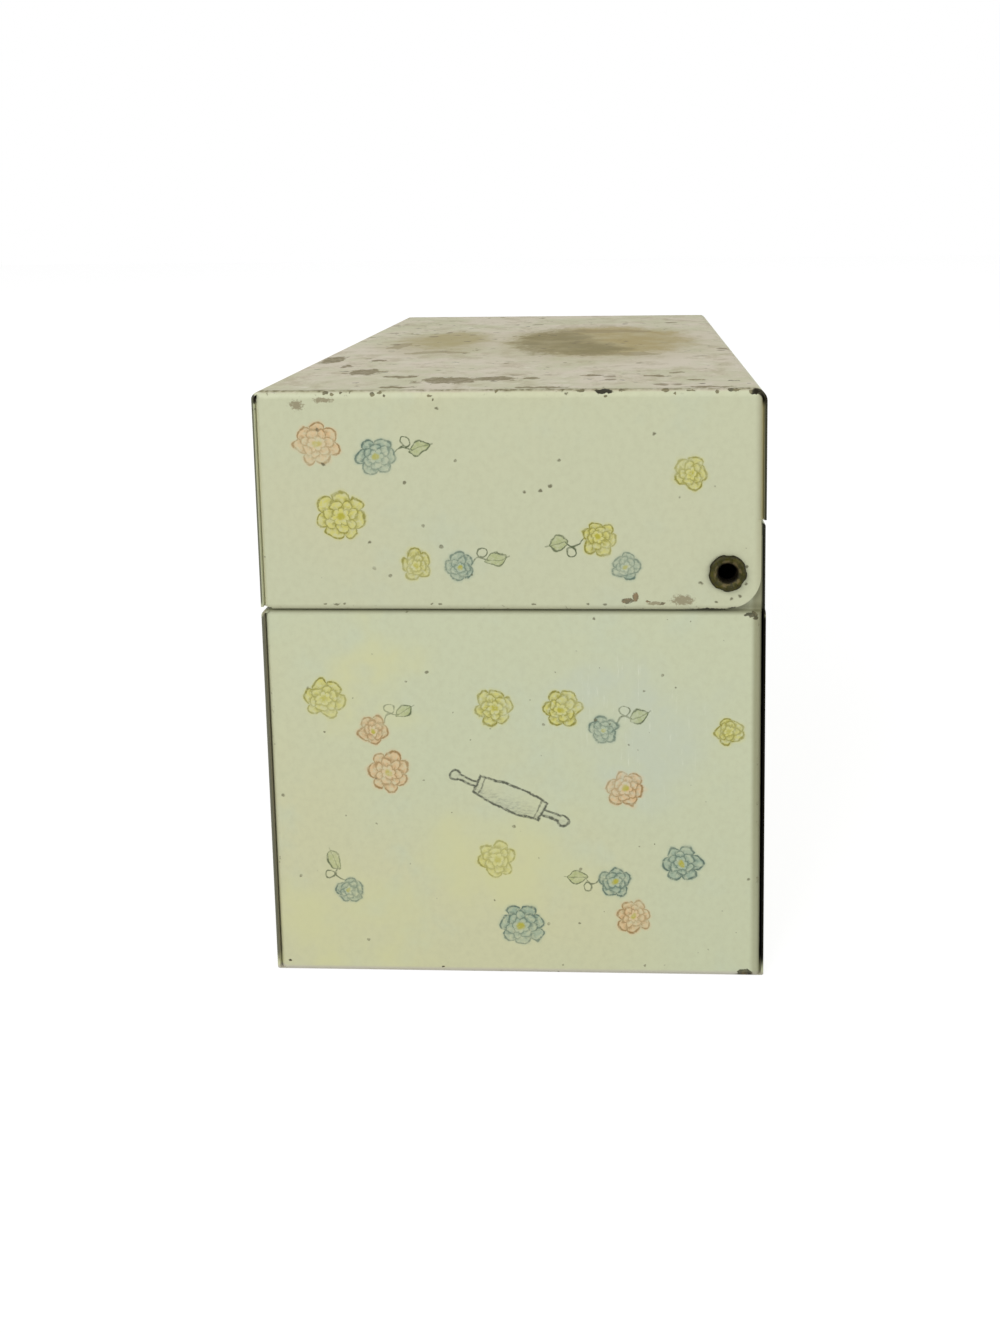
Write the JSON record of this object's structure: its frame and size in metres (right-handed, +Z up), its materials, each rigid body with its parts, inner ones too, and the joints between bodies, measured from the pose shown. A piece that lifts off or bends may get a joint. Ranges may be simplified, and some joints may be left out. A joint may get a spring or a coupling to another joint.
{
  "type": "recipe card box",
  "caption": "Closed tin recipe card box: folded sheet body with a recessed neck, and a hinged lid with side ears turning on hollow eyelets.",
  "frame": {"origin": "centre of the underside of the floor, on the surface that the box stands on", "axes": "+X along the box towards the pictured end, +Y towards the hinged back, +Z up"},
  "size_m": [0.135, 0.089, 0.108],
  "materials": {
    "enamel_body": "aged cream-green gloss enamel on tinplate",
    "enamel_lid": "aged cream-green gloss enamel on tinplate",
    "eyelet_brass": "dull, darkened with age"
  },
  "bodies": {
    "case": {"body_shell": "enamel_body", "hinge_eyelet_right": "eyelet_brass", "hinge_eyelet_left": "eyelet_brass"},
    "lid": {"lid_shell": "enamel_lid"}
  },
  "joints": [
    {"name": "lid_hinge", "type": "hinge", "parent": "case", "child": "lid", "pos_m": [0, 0.0378, 0.0758], "axis": [-1, 0, 0], "range_deg": [0, 98]}
  ]
}
